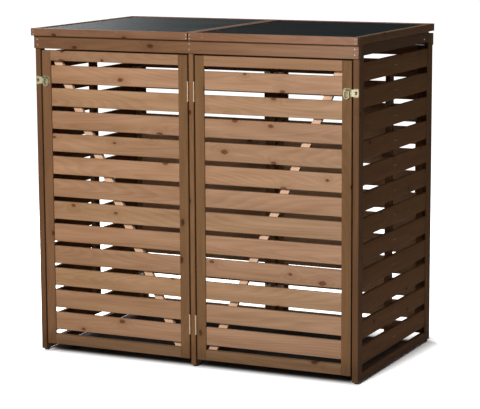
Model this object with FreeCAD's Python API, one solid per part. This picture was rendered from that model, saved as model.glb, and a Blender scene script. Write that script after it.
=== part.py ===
"""Slatted wooden store for two wheelie bins, with two front doors and two lids.

Lengths are in millimetres. X runs to the right as seen from the front, the
doors face -Y and Z points up. The origin is on the ground, under the middle of
the whole store. Each piece, or group of equal pieces, is one file in parts/.
"""

import FreeCAD
import Part
import math
import os

Vector = FreeCAD.Vector

# Whole store
frame_width = 1318.0  # over the corner posts
frame_depth = 765.0  # over the corner posts
store_height = 1250.0  # ground to the top of the lid rims
foot_height = 8.0
foot_diameter = 20.0

# Timber of the slatted panels
board_thickness = 22.0
slat_count = 12
slat_width = 68.0
slat_recess = 6.0  # slat face behind the face of its panel
slat_seat = 12.0  # how far slats and rails run into the rebate of a stile
arris = 1.5  # bevel of the planed frame edges
slat_arris = 2.5

# Doors and the back panels, which share one pattern
door_gap = 6.0  # door edge to post
door_ground_gap = 31.0
door_head_gap = 7.5
stile_width = 37.0
rail_width = 38.0
brace_run = 34.0  # width of the brace, measured level
brace_thickness = 16.0
brace_lap = 30.0  # how far the brace runs over the rails

# Side panels, whose stiles are the corner posts
post_width = 45.0
side_top_rail = 40.0
side_bottom_rail = 30.0
batten_width = 42.0
batten_thickness = 18.0

# Headers, centre posts and the tie between them
header_height = 48.0
header_thickness = 22.0
header_proud = 8.0  # header face in front of the posts
rear_header_drop = 8.0  # room for the lid hinges
centre_post_width = 19.0
tie_height = 45.0

# Lids
lid_rim_height = 28.0
lid_rim_thickness = 18.0
lid_front_overhang = 17.0  # in front of the header
lid_side_overhang = 3.0
lid_clearance = 0.5  # rim above the headers and side rails
lid_gap = 5.0  # between the two lids
felt_sink = 3.0  # felt below the top of the rim
felt_thickness = 2.0
deck_thickness = 9.0
lid_batten_width = 40.0
lid_batten_count = 3

# Hinges
barrel_radius = 3.0
pin_radius = 1.5
pin_clearance = 0.06
knuckle_gap = 0.4  # plate to a turning knuckle
end_play = 0.2  # between knuckles, along the pin
leaf_thickness = 1.5
door_hinge_length = 75.0
door_hinge_leaf = 20.0
door_hinge_inset = 132.0  # door end to the middle of the hinge
lid_hinge_length = 60.0
lid_hinge_leaf = 24.0
lid_hinge_inset = 120.0  # lid edge to the middle of the hinge

# Hasps on the doors, staples on the posts
latch_drop = 113.0  # door top to the middle of the hasp
hasp_barrel_radius = 2.5
hasp_pin_radius = 1.1
hasp_height = 25.0
hasp_plate_width = 30.0
hasp_plate_height = 33.0
hasp_edge = 1.0  # barrel inside the door edge
hasp_tip_inset = 1.0  # leaf tip inside the corner post
slot_slack = 1.2  # slot past the staple's sweep, each side
slot_height = 12.5
staple_reach = 13.0  # loop in front of the post
staple_loop = 9.0
staple_thickness = 3.0
staple_eye = 2.4  # radius of the padlock hole
staple_plate_width = 20.0
staple_plate_height = 30.0
ring_width = 20.0
ring_height = 31.0
ring_wire = 1.2  # half the bar's thickness
ring_corner = 4.0
ring_stand = 7.5  # ring plane in front of the door
ring_clearance = 0.3  # past the corners of the bar
ring_drop = 5.0  # ring's bar below the top of the hasp
ring_side_gap = 1.5  # ring to the hasp's knuckles
lug_width = 6.0
lug_wall = 1.3

# Brackets of the back panels
bracket_leg = 22.0
bracket_reach = 30.0
bracket_height = 20.0
bracket_thickness = 2.0

# Heights and depths that follow from the sizes above
total_depth = frame_depth + 2 * header_proud + lid_front_overhang + 2 * barrel_radius
lid_front_y = -total_depth / 2
header_front_y = lid_front_y + lid_front_overhang
front_y = header_front_y + header_proud
back_y = front_y + frame_depth
header_back_y = back_y + header_proud
lid_bottom = store_height - lid_rim_height
header_top = lid_bottom - lid_clearance
header_bottom = header_top - header_height
door_top = header_bottom - door_head_gap
rear_header_top = header_top - rear_header_drop
rear_header_bottom = door_top + 1.5
post_inner_x = frame_width / 2 - board_thickness
door_inner_x = centre_post_width / 2 + door_gap
door_outer_x = post_inner_x - door_gap
door_width = door_outer_x - door_inner_x
latch_z = door_top - latch_drop


def box(x, y, z):
    """A block between the (low, high) pairs x, y and z."""
    corner = Vector(x[0], y[0], z[0])
    return Part.makeBox(x[1] - x[0], y[1] - y[0], z[1] - z[0], corner)


def edges_along(block, along, keep):
    """The edges of a block that run along an axis, or those of them kept."""
    chosen = []
    for edge in block.Edges:
        run = edge.Vertexes[-1].Point - edge.Vertexes[0].Point
        if run.cross(along).Length < 1e-6 and (keep is None or keep(edge.CenterOfMass)):
            chosen.append(edge)
    return chosen


def eased(block, along, size, keep=None):
    """Bevels edges, as a planer takes the arrises off a board."""
    return block.makeChamfer(size, edges_along(block, along, keep))


def cylinder(radius, length, start, direction=Vector(0, 0, 1)):
    return Part.makeCylinder(radius, length, start, direction)


def mirrored(shape):
    """The same piece on the left half of the store."""
    return shape.mirror(Vector(0, 0, 0), Vector(1, 0, 0))


def export(name, *shapes):
    whole = shapes[0] if len(shapes) == 1 else Part.makeCompound(list(shapes))
    whole.exportStep(os.path.join("parts", name + ".step"))


def export_pair(name, shapes):
    """Writes a piece of the right half, and its mirror image for the left."""
    export("right_" + name, *shapes)
    export("left_" + name, *[mirrored(shape) for shape in shapes])


def placed(shape, origin, x_axis, y_axis):
    """Moves a shape from its own frame to an origin with given X and Y axes."""
    z_axis = x_axis.cross(y_axis)
    turn = FreeCAD.Matrix(
        *(x_axis.x, y_axis.x, z_axis.x, origin.x),
        *(x_axis.y, y_axis.y, z_axis.y, origin.y),
        *(x_axis.z, y_axis.z, z_axis.z, origin.z),
        *(0, 0, 0, 1),
    )
    shape = shape.copy()
    shape.Placement = FreeCAD.Placement(turn).multiply(shape.Placement)
    return shape


def slatted_panel(width, bottom, top, stile, top_rail, bottom_rail):
    """A framed panel of level slats, with its outer face on y = 0.

    The stiles have a rebate along their inner back edge. The rails and the
    slats all run into it, behind a lip that stands the slat recess deep.
    """
    deep = (slat_recess, board_thickness)
    x_axis, z_axis = Vector(1, 0, 0), Vector(0, 0, 1)

    def front_edges(point):
        return point.y < 0.1

    left = eased(box((0, stile), (0, board_thickness), (bottom, top)), z_axis, arris, front_edges)
    left = left.cut(box((stile - slat_seat, stile), deep, (bottom, top)))
    right = left.mirror(Vector(width / 2, 0, 0), x_axis)

    def rail(low, high):
        body = box((stile, width - stile), (0, board_thickness), (low, high))
        body = eased(body, x_axis, arris, front_edges)
        for end in (stile - slat_seat, width - stile):
            body = body.fuse(box((end, end + slat_seat), deep, (low, high)))
        return body.removeSplitter()

    first = bottom + bottom_rail
    last = top - top_rail
    gap = (last - first - slat_count * slat_width) / (slat_count + 1)
    one = box(
        (stile - slat_seat, width - stile + slat_seat), deep, (0, slat_width)
    )
    one = eased(one, x_axis, slat_arris)
    slats = []
    for number in range(slat_count):
        height = first + gap + number * (slat_width + gap)
        slats.append(one.translated(Vector(0, 0, height)))
    return {
        "left": left,
        "right": right,
        "top": rail(last, top),
        "bottom": rail(bottom, first),
        "slats": slats,
        "slat_heights": [slat.BoundBox.Center.z for slat in slats],
    }


def hinge(length, width, spread):
    """The two leaves of a butt hinge, its pin along Z through the origin.

    Each plate lies on the -X side, so a caller mirrors or turns one of them.
    The first leaf carries the end knuckles with the pin fast in them, and the
    second the middle knuckle, which runs on the pin.
    """
    step = length / 3
    inner = step - 2 * end_play
    outer = step + end_play
    plate = box((-spread, -spread + leaf_thickness), (0, width), (-length / 2, length / 2))

    def room(low, size):
        """Where a knuckle of the other leaf turns."""
        return box((-spread, 0), (0, barrel_radius + knuckle_gap), (low, low + size))

    fixed = plate.cut(room(-step / 2, step))
    moving = plate.cut(room(-length / 2, outer)).cut(room(inner / 2, outer))
    for low in (-length / 2, step / 2):
        fixed = fixed.fuse(cylinder(barrel_radius, step, Vector(0, 0, low)))
    fixed = fixed.fuse(cylinder(pin_radius, step, Vector(0, 0, -step / 2)))
    moving = moving.fuse(cylinder(barrel_radius, inner, Vector(0, 0, -inner / 2)))
    moving = moving.cut(cylinder(pin_radius + pin_clearance, length, Vector(0, 0, -length / 2)))
    return fixed.removeSplitter(), moving.removeSplitter()


def side_panels(headers):
    """The two side panels. Their stiles, the corner posts, carry the headers."""
    panel = slatted_panel(
        frame_depth, foot_height, header_top, post_width, side_top_rail, side_bottom_rail
    )
    origin = Vector(frame_width / 2, front_y, 0)

    def stand(shape):
        return placed(shape, origin, Vector(0, 1, 0), Vector(-1, 0, 0))

    over_rear = box(
        (0, frame_width), (back_y - post_width, back_y + 1), (rear_header_top, header_top + 1)
    )
    middle = (front_y + back_y) / 2
    heights = panel["slat_heights"]
    batten = box(
        (post_inner_x - batten_thickness, post_inner_x),
        (middle - batten_width / 2, middle + batten_width / 2),
        (heights[0], heights[-1]),
    )
    batten = eased(batten, Vector(0, 0, 1), arris, lambda point: point.x < post_inner_x - 1)

    for name, shapes in (
        ("front_post", [stand(panel["left"]).cut(headers[0])]),
        ("rear_post", [stand(panel["right"]).cut(headers[1]).cut(over_rear)]),
        ("side_top_rail", [stand(panel["top"]).cut(over_rear)]),
        ("side_bottom_rail", [stand(panel["bottom"])]),
        ("side_slats", [stand(slat) for slat in panel["slats"]]),
        ("side_batten", [batten]),
    ):
        export_pair(name, shapes)


def centre_frame(headers):
    """The centre posts, notched for the headers, and the tie between them."""
    half = centre_post_width / 2
    z_axis = Vector(0, 0, 1)
    front_post = box((-half, half), (front_y, front_y + post_width), (foot_height, header_top))
    front_post = eased(front_post, z_axis, arris).cut(headers[0])
    rear_post = box(
        (-half, half), (back_y - post_width, back_y), (foot_height, rear_header_top)
    )
    rear_post = eased(rear_post, z_axis, arris).cut(headers[1])
    tie = box(
        (-half, half),
        (front_y + post_width, back_y - post_width),
        (header_top - tie_height, header_top),
    )
    export("front_centre_post", front_post)
    export("rear_centre_post", rear_post)
    export("centre_tie", tie)


def feet():
    """A round pad under each of the six posts."""
    corner = frame_width / 2 - board_thickness / 2
    pads = []
    for x in (-corner, 0, corner):
        for y in (front_y + post_width / 2, back_y - post_width / 2):
            pads.append(cylinder(foot_diameter / 2, foot_height, Vector(x, y, 0)))
    export("feet", *pads)


def door_panel():
    """The pattern that the doors and the back panels share."""
    return slatted_panel(
        door_width, door_ground_gap, door_top, stile_width, rail_width, rail_width
    )


def back_panels():
    """Two fixed panels like the doors, held to the posts by angle brackets."""
    panel = door_panel()
    origin = Vector(door_outer_x, back_y, 0)

    def stand(shape):
        return placed(shape, origin, Vector(-1, 0, 0), Vector(0, -1, 0))

    for name, shapes in (
        ("outer_stiles", [panel["left"]]),
        ("inner_stiles", [panel["right"]]),
        ("rails", [panel["bottom"], panel["top"]]),
        ("slats", panel["slats"]),
    ):
        right = [stand(shape) for shape in shapes]
        export("back_" + name, *right, *[mirrored(shape) for shape in right])

    inner = back_y - board_thickness
    brackets = []
    for height in (door_ground_gap + door_hinge_inset, door_top - door_hinge_inset):
        z = (height - bracket_height / 2, height + bracket_height / 2)
        for wall, into in ((post_inner_x, -1), (centre_post_width / 2, 1)):
            near = sorted((wall, wall + into * bracket_thickness))
            far = sorted((wall, wall + into * bracket_reach))
            angle = box(near, (inner - bracket_leg, inner), z)
            angle = angle.fuse(box(far, (inner - bracket_thickness, inner), z))
            brackets.append(angle.removeSplitter())
    export("back_brackets", *brackets, *[mirrored(shape) for shape in brackets])


def doors():
    """The two doors, with a brace each, and the hinges on the centre post."""
    panel = door_panel()
    origin = Vector(door_inner_x, front_y, 0)

    low, high = door_ground_gap + rail_width, door_top - rail_width
    left, right = stile_width, door_width - stile_width
    lean = (right - left - brace_run) / (high - low)
    lap = lean * brace_lap
    outline = [
        (left - lap, low - brace_lap),
        (left + brace_run - lap, low - brace_lap),
        (right + lap, high + brace_lap),
        (right - brace_run + lap, high + brace_lap),
    ]
    corners = [Vector(x, board_thickness, z) for x, z in outline + outline[:1]]
    brace = Part.Face(Part.makePolygon(corners)).extrude(Vector(0, brace_thickness, 0))

    for name, shapes in (
        ("door_hinge_stile", [panel["left"]]),
        ("door_latch_stile", [panel["right"]]),
        ("door_rails", [panel["bottom"], panel["top"]]),
        ("door_slats", panel["slats"]),
        ("door_brace", [brace]),
    ):
        export_pair(name, [shape.translated(origin) for shape in shapes])

    fixed, moving = hinge(door_hinge_length, door_hinge_leaf, door_gap / 2)
    moving = mirrored(moving)
    post_leaves, door_leaves = [], []
    for height in (door_ground_gap + door_hinge_inset, door_top - door_hinge_inset):
        place = Vector(centre_post_width / 2 + door_gap / 2, front_y - barrel_radius, height)
        post_leaves.append(fixed.translated(place))
        door_leaves.append(moving.translated(place))
    export_pair("door_hinge_leaves", door_leaves)
    export("centre_post_hinge_leaves", *post_leaves, *[mirrored(one) for one in post_leaves])


def hasp_plate(axis):
    """The plate on the door, with two knuckles, the pin and the ring's lug."""
    step = hasp_height / 3
    low = axis.z - hasp_height / 2
    half = hasp_plate_height / 2
    plate = box(
        (axis.x - hasp_plate_width, axis.x),
        (front_y - leaf_thickness, front_y),
        (axis.z - half, axis.z + half),
    )
    plate = eased(plate, Vector(0, 1, 0), 6.0, lambda point: point.x < axis.x - 1)
    middle = Vector(axis.x, axis.y, low + step)
    inset = hasp_barrel_radius + knuckle_gap
    room = (axis.x - inset, axis.x), (front_y - leaf_thickness, front_y), (low + step, low + 2 * step)
    plate = plate.cut(box(*room))
    for start in (low, low + 2 * step):
        plate = plate.fuse(
            cylinder(hasp_barrel_radius, step, Vector(axis.x, axis.y, start))
        )
    plate = plate.fuse(cylinder(hasp_pin_radius, step, middle))

    x_axis = Vector(1, 0, 0)
    pivot = ring_pivot(axis)
    side = pivot.x - lug_width / 2
    eye = ring_wire * math.sqrt(2) + ring_clearance
    nose = eye + lug_wall
    lug = box(
        (side, side + lug_width),
        (pivot.y - nose, front_y - leaf_thickness),
        (pivot.z - nose, pivot.z + nose),
    )
    lug = eased(lug, x_axis, 1.5, lambda point: point.y < pivot.y)
    lug = lug.cut(cylinder(eye, lug_width, Vector(side, pivot.y, pivot.z), x_axis))
    return plate.fuse(lug).removeSplitter()


def hasp_leaf(axis):
    """The leaf that swings on the pin, slotted to go over the staple."""
    step = hasp_height / 3
    low = axis.z - hasp_height / 2
    half = leaf_thickness / 2
    tip = frame_width / 2 - hasp_tip_inset
    leaf = box((axis.x, tip), (axis.y - half, axis.y + half), (low, low + hasp_height))
    leaf = eased(leaf, Vector(0, 1, 0), 3.0, lambda point: point.x > tip - 1)
    inner = step - 2 * end_play
    outer = step + end_play
    inset = hasp_barrel_radius + knuckle_gap
    for start in (low, axis.z + inner / 2):
        room = box((axis.x, axis.x + inset), (axis.y - half, axis.y + half), (start, start + outer))
        leaf = leaf.cut(room)
    middle = Vector(axis.x, axis.y, axis.z - inner / 2)
    leaf = leaf.fuse(cylinder(hasp_barrel_radius, inner, middle))
    leaf = leaf.cut(cylinder(hasp_pin_radius + pin_clearance, inner, middle))

    # The slot is as wide as the staple sweeps while the leaf swings over it
    reach = frame_width / 2 - board_thickness / 2 - axis.x
    near = reach - staple_thickness / 2
    far = math.hypot(reach + staple_thickness / 2, staple_reach - hasp_barrel_radius)
    slot = box(
        (axis.x + near - slot_slack, axis.x + far + slot_slack),
        (axis.y - leaf_thickness, axis.y + leaf_thickness),
        (axis.z - slot_height / 2, axis.z + slot_height / 2),
    )
    return leaf.cut(eased(slot, Vector(0, 1, 0), 1.5)).removeSplitter()


def ring_pivot(axis):
    """Where the drop ring's bar turns in the lug, beside the hasp's knuckles."""
    return Vector(
        axis.x - hasp_barrel_radius - ring_side_gap - ring_width / 2,
        front_y - ring_stand,
        axis.z + hasp_height / 2 - ring_drop,
    )


def drop_ring(axis):
    """A ring of square bar, straight at the top and round at the bottom."""
    pivot = ring_pivot(axis)

    def outline(spread):
        """The area inside the ring, and so far past the middle of its bar."""
        wide = ring_width / 2 - ring_wire + spread
        low = -(ring_height - 2 * ring_wire) - spread
        corner = ring_corner + spread * (2 - math.sqrt(2))

        def point(x, z):
            return Vector(pivot.x + x, pivot.y - ring_wire, pivot.z + z)

        half = [(wide, low + wide), (wide, spread - corner), (wide - corner, spread)]
        line = [point(x, z) for x, z in half] + [point(-x, z) for x, z in reversed(half)]
        round_end = Part.Arc(line[-1], point(0, low), line[0]).toShape()
        edges = Part.makePolygon(line).Edges + [round_end]
        return Part.Face(Part.Wire(edges)).extrude(Vector(0, 2 * ring_wire, 0))

    return outline(ring_wire).cut(outline(-ring_wire))


def staple():
    """A plate and a padlock loop, its back at the origin and facing -Y."""
    x_axis, y_axis = Vector(1, 0, 0), Vector(0, 1, 0)
    half = staple_plate_height / 2
    plate = box(
        (-staple_plate_width / 2, staple_plate_width / 2), (-leaf_thickness, 0), (-half, half)
    )
    plate = eased(plate, y_axis, 2.5)
    nose = staple_loop / 2
    side = -staple_thickness / 2
    loop = box((side, -side), (-staple_reach, 0), (-nose, nose))
    loop = eased(loop, x_axis, 2.5, lambda point: point.y < -nose)
    eye = Vector(side, nose - staple_reach, 0)
    loop = loop.cut(cylinder(staple_eye, staple_thickness, eye, x_axis))
    return plate.fuse(loop).removeSplitter()


def latches():
    """Hasps and drop rings on the doors, staples on all four corner posts."""
    axis = Vector(
        door_outer_x - hasp_edge - hasp_barrel_radius, front_y - hasp_barrel_radius, latch_z
    )
    export_pair("hasp_plate", [hasp_plate(axis)])
    export_pair("hasp_leaf", [hasp_leaf(axis)])
    export_pair("drop_ring", [drop_ring(axis)])

    corner = frame_width / 2 - board_thickness / 2
    front = staple().translated(Vector(corner, front_y, latch_z))
    rear = placed(
        staple(), Vector(corner, back_y, latch_z), Vector(-1, 0, 0), Vector(0, -1, 0)
    )
    export("staples", front, rear, mirrored(front), mirrored(rear))


def lids():
    """The two lids: a timber rim round a felted deck, hinged at the back."""
    x = (lid_gap / 2, frame_width / 2 + lid_side_overhang)
    y = (lid_front_y, header_back_y)
    z = (lid_bottom, store_height)
    x_axis, y_axis, z_axis = Vector(1, 0, 0), Vector(0, 1, 0), Vector(0, 0, 1)
    inner_x = (x[0] + lid_rim_thickness, x[1] - lid_rim_thickness)
    inner_y = (y[0] + lid_rim_thickness, y[1] - lid_rim_thickness)

    long_rims = []
    for low in (y[0], inner_y[1]):
        long_rims.append(eased(box(x, (low, low + lid_rim_thickness), z), x_axis, arris))
    side_rims = []
    for low in (x[0], inner_x[1]):
        side_rims.append(eased(box((low, low + lid_rim_thickness), inner_y, z), y_axis, arris))

    felt_top = store_height - felt_sink
    deck_top = felt_top - felt_thickness
    deck_bottom = deck_top - deck_thickness
    pitch = (inner_x[1] - inner_x[0] - lid_batten_width) / (lid_batten_count - 1)
    battens = []
    for number in range(lid_batten_count):
        low = inner_x[0] + number * pitch
        battens.append(box((low, low + lid_batten_width), inner_y, (lid_bottom, deck_bottom)))

    fixed, moving = hinge(lid_hinge_length, lid_hinge_leaf, barrel_radius)
    leaves, header_leaves = [], []
    for across in (x[0] + lid_hinge_inset, x[1] - lid_hinge_inset):
        place = Vector(
            across, header_back_y + barrel_radius, (rear_header_top + lid_bottom) / 2
        )
        header_leaves.append(placed(fixed, place, y_axis, z_axis * -1))
        leaves.append(placed(moving, place, y_axis, z_axis))

    for name, shapes in (
        ("lid_long_rims", long_rims),
        ("lid_side_rims", side_rims),
        ("lid_deck", [box(inner_x, inner_y, (deck_bottom, deck_top))]),
        ("lid_felt", [box(inner_x, inner_y, (deck_top, felt_top))]),
        ("lid_battens", battens),
        ("lid_hinge_leaves", leaves),
    ):
        export_pair(name, shapes)
    export("header_hinge_leaves", *header_leaves, *[mirrored(one) for one in header_leaves])


def build():
    os.makedirs("parts", exist_ok=True)
    across = (-frame_width / 2, frame_width / 2)
    front_header = box(
        across, (header_front_y, header_front_y + header_thickness), (header_bottom, header_top)
    )
    rear_header = box(
        across,
        (header_back_y - header_thickness, header_back_y),
        (rear_header_bottom, rear_header_top),
    )
    export("front_header", front_header)
    export("rear_header", rear_header)
    headers = (front_header, rear_header)
    side_panels(headers)
    centre_frame(headers)
    feet()
    back_panels()
    doors()
    latches()
    lids()


build()
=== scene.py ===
import math

import bpy
from mathutils import Matrix, Vector


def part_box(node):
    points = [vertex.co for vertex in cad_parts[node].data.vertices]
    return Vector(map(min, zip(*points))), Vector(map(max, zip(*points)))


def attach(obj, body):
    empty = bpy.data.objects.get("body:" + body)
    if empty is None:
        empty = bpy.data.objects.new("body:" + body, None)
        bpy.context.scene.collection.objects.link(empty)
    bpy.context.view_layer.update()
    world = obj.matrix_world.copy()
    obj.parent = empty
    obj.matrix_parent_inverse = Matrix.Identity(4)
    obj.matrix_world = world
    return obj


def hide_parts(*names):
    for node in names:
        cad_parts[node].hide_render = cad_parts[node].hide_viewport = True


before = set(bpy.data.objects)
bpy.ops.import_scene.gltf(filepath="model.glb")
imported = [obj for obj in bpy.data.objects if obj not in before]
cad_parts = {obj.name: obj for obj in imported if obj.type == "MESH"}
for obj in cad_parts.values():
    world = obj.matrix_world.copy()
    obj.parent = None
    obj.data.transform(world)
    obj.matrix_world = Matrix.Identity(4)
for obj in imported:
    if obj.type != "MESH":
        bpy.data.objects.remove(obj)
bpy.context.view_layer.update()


# Corner posts: planed softwood, 22 by 45 mm, dipped in a brown stain. They are
# the stiles of the side panels too, so their grain stands upright and the front
# and rear headers are let into them.
def linear(colour):
    """An sRGB hex colour as linear red, green, blue and alpha."""
    parts = [int(colour[i : i + 2], 16) / 255 for i in (1, 3, 5)]
    return (*[c / 12.92 if c <= 0.04045 else ((c + 0.055) / 1.055) ** 2.4 for c in parts], 1.0)


def add(tree, kind, settings=None, inputs=None):
    """Adds a node to a tree. An input is a value, or a socket to link from."""
    node = tree.nodes.new(kind)
    for name, value in (settings or {}).items():
        setattr(node, name, value)
    for name, value in (inputs or {}).items():
        if isinstance(value, bpy.types.NodeSocket):
            tree.links.new(value, node.inputs[name])
        else:
            node.inputs[name].default_value = value
    return node


def blank(name):
    """A new material with an empty tree."""
    material = bpy.data.materials.new(name)
    material.use_nodes = True
    material.node_tree.nodes.clear()
    return material, material.node_tree


def timber(name, axes, colours, borders=(), seed=0, turn=0.0, knots=0.5, board="", painted_light=None):
    """Stained, planed softwood: matt, streaky along the grain, and darker in its
    knots and summer wood. axes names its grain, its width and its thickness.

    colours are those of its spring wood, its summer wood and its knots. borders
    are (axis, place) pairs that lie between boards of one node, so that each
    board gets grain and tone of its own. board is an attribute that counts the
    boards instead. turn leans the grain, and knots is the share of places that
    hold a knot. fade is (axis, from, to, brightness, saturation): painted light and
    shade, which changes the wood's colour by these two factors from the first place
    to the second.
    """
    pale, deep, knot = colours
    material, tree = blank(name)
    place = add(tree, "ShaderNodeTexCoord").outputs["Object"]
    apart = add(tree, "ShaderNodeSeparateXYZ", {}, {0: place})
    number = 0.37
    if board:
        number = add(tree, "ShaderNodeAttribute", {"attribute_name": board}).outputs["Fac"]
    count = add(
        tree, "ShaderNodeMath", {"operation": "ADD"}, {0: float(seed), 1: number}
    ).outputs[0]
    for step, (axis, border) in enumerate(borders):
        past = add(
            tree,
            "ShaderNodeMath",
            {"operation": "GREATER_THAN"},
            {0: apart.outputs[axis], 1: border},
        )
        count = add(
            tree,
            "ShaderNodeMath",
            {"operation": "MULTIPLY_ADD"},
            {0: past.outputs[0], 1: float(2**step), 2: count},
        ).outputs[0]
    chance = add(tree, "ShaderNodeTexWhiteNoise", {"noise_dimensions": "1D"}, {"W": count})

    # Along the grain, across the board's face, and through the board
    turned = add(
        tree,
        "ShaderNodeMapping",
        {"vector_type": "POINT"},
        {0: place, "Rotation": (0, turn, 0)},
    )
    apart = add(tree, "ShaderNodeSeparateXYZ", {}, {0: turned.outputs[0]})
    board_place = add(
        tree, "ShaderNodeCombineXYZ", {}, {i: apart.outputs[axis] for i, axis in enumerate(axes)}
    )
    shift = add(
        tree,
        "ShaderNodeVectorMath",
        {"operation": "SCALE"},
        {0: chance.outputs["Color"], "Scale": 7.0},
    )
    moved = add(
        tree,
        "ShaderNodeVectorMath",
        {"operation": "ADD"},
        {0: board_place.outputs[0], 1: shift.outputs[0]},
    )

    # Knots some 150 mm apart run through the board, 4 to 8 mm in radius across it
    cell = add(
        tree,
        "ShaderNodeVectorMath",
        {"operation": "MULTIPLY"},
        {0: moved.outputs[0], 1: (6.5, 11.0, 0.0)},
    )
    knot_field = add(
        tree,
        "ShaderNodeTexVoronoi",
        {"voronoi_dimensions": "2D", "feature": "F1"},
        {"Vector": cell.outputs[0], "Scale": 1.0, "Randomness": 1.0},
    )
    cell_chance = add(tree, "ShaderNodeSeparateColor", {}, {0: knot_field.outputs["Color"]})
    present = add(
        tree,
        "ShaderNodeMath",
        {"operation": "LESS_THAN"},
        {0: cell_chance.outputs[0], 1: knots},
    )
    radius = add(
        tree,
        "ShaderNodeMapRange",
        {},
        {0: cell_chance.outputs[1], "To Min": 0.075, "To Max": 0.12},
    )
    wobble = add(
        tree,
        "ShaderNodeTexNoise",
        {"noise_dimensions": "3D"},
        {"Vector": board_place.outputs[0], "Scale": 140.0, "Detail": 2.0, "Roughness": 0.6},
    )
    reach = add(
        tree,
        "ShaderNodeMath",
        {"operation": "MULTIPLY_ADD"},
        {0: wobble.outputs[0], 1: 0.09, 2: knot_field.outputs["Distance"]},
    )
    nearness = add(
        tree, "ShaderNodeMath", {"operation": "DIVIDE"}, {0: reach.outputs[0], 1: radius.outputs[0]}
    )
    inside = add(
        tree,
        "ShaderNodeMapRange",
        {"interpolation_type": "SMOOTHSTEP"},
        {0: nearness.outputs[0], "From Min": 1.45, "From Max": 0.85},
    )
    # The bark ring round a knot is darker than its heart
    heart = add(
        tree,
        "ShaderNodeMapRange",
        {"interpolation_type": "SMOOTHSTEP"},
        {0: nearness.outputs[0], "From Min": 0.25, "From Max": 0.8, "To Min": 0.7},
    )
    in_knot = add(
        tree,
        "ShaderNodeMath",
        {"operation": "MULTIPLY"},
        {0: inside.outputs[0], 1: present.outputs[0]},
    )
    in_ring = add(
        tree,
        "ShaderNodeMath",
        {"operation": "MULTIPLY"},
        {0: in_knot.outputs[0], 1: heart.outputs[0]},
    )
    # The grain swells out round a knot, over some 40 mm
    bend = add(
        tree,
        "ShaderNodeMapRange",
        {"interpolation_type": "SMOOTHSTEP"},
        {0: nearness.outputs[0], "From Min": 4.5, "From Max": 0.0},
    )
    bent = add(
        tree,
        "ShaderNodeMath",
        {"operation": "MULTIPLY"},
        {0: bend.outputs[0], 1: present.outputs[0]},
    )

    # Growth rings, cut lengthwise, run out on the face in arches, 5 to 10 mm
    # apart, each pale in its spring wood and dark in its narrow summer wood
    along = add(
        tree,
        "ShaderNodeVectorMath",
        {"operation": "MULTIPLY"},
        {0: moved.outputs[0], 1: (0.7, 8.0, 8.0)},
    )
    figure = add(
        tree,
        "ShaderNodeTexNoise",
        {},
        {"Vector": along.outputs[0], "Scale": 1.0, "Detail": 1.0, "Roughness": 0.35},
    )
    swollen = add(
        tree,
        "ShaderNodeMath",
        {"operation": "MULTIPLY"},
        {0: bent.outputs[0], 1: 2.5},
    )
    years = add(
        tree,
        "ShaderNodeMath",
        {"operation": "MULTIPLY_ADD"},
        {0: figure.outputs[0], 1: 34.0, 2: swollen.outputs[0]},
    )
    year = add(tree, "ShaderNodeMath", {"operation": "FRACT"}, {0: years.outputs[0]})
    summer = add(
        tree,
        "ShaderNodeMapRange",
        {"interpolation_type": "SMOOTHSTEP"},
        {0: year.outputs[0], "From Min": 0.15, "From Max": 0.8},
    )
    winter = add(
        tree,
        "ShaderNodeMapRange",
        {"interpolation_type": "SMOOTHSTEP"},
        {0: year.outputs[0], "From Min": 1.0, "From Max": 0.85},
    )
    rings = add(
        tree,
        "ShaderNodeMath",
        {"operation": "MULTIPLY"},
        {0: summer.outputs[0], 1: winter.outputs[0]},
    )
    # Fibres under 1 mm wide are drawn 1.5 mm wide, so that a near view shows them
    fibre_place = add(
        tree,
        "ShaderNodeVectorMath",
        {"operation": "MULTIPLY"},
        {0: moved.outputs[0], 1: (12.0, 650.0, 650.0)},
    )
    fibres = add(
        tree,
        "ShaderNodeTexNoise",
        {},
        {"Vector": fibre_place.outputs[0], "Scale": 1.0, "Detail": 3.0, "Roughness": 0.6},
    )
    # Stain sinks in unevenly, in streaks some 35 mm wide and 400 mm long
    streak_place = add(
        tree,
        "ShaderNodeVectorMath",
        {"operation": "MULTIPLY"},
        {0: moved.outputs[0], 1: (2.5, 28.0, 28.0)},
    )
    streaks = add(
        tree,
        "ShaderNodeTexNoise",
        {},
        {"Vector": streak_place.outputs[0], "Scale": 1.0, "Detail": 3.0, "Roughness": 0.55},
    )
    tone = add(
        tree,
        "ShaderNodeMath",
        {"operation": "MULTIPLY_ADD"},
        {0: rings.outputs[0], 1: 0.13, 2: streaks.outputs[0]},
    )
    tone = add(
        tree,
        "ShaderNodeMath",
        {"operation": "MULTIPLY_ADD"},
        {0: fibres.outputs[0], 1: 0.24, 2: tone.outputs[0]},
    )
    depth = add(
        tree,
        "ShaderNodeMapRange",
        {"clamp": True},
        {0: tone.outputs[0], "From Min": 0.40, "From Max": 1.05},
    )
    stain = add(
        tree,
        "ShaderNodeMix",
        {"data_type": "RGBA"},
        {0: depth.outputs[0], 6: linear(pale), 7: linear(deep)},
    )
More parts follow.
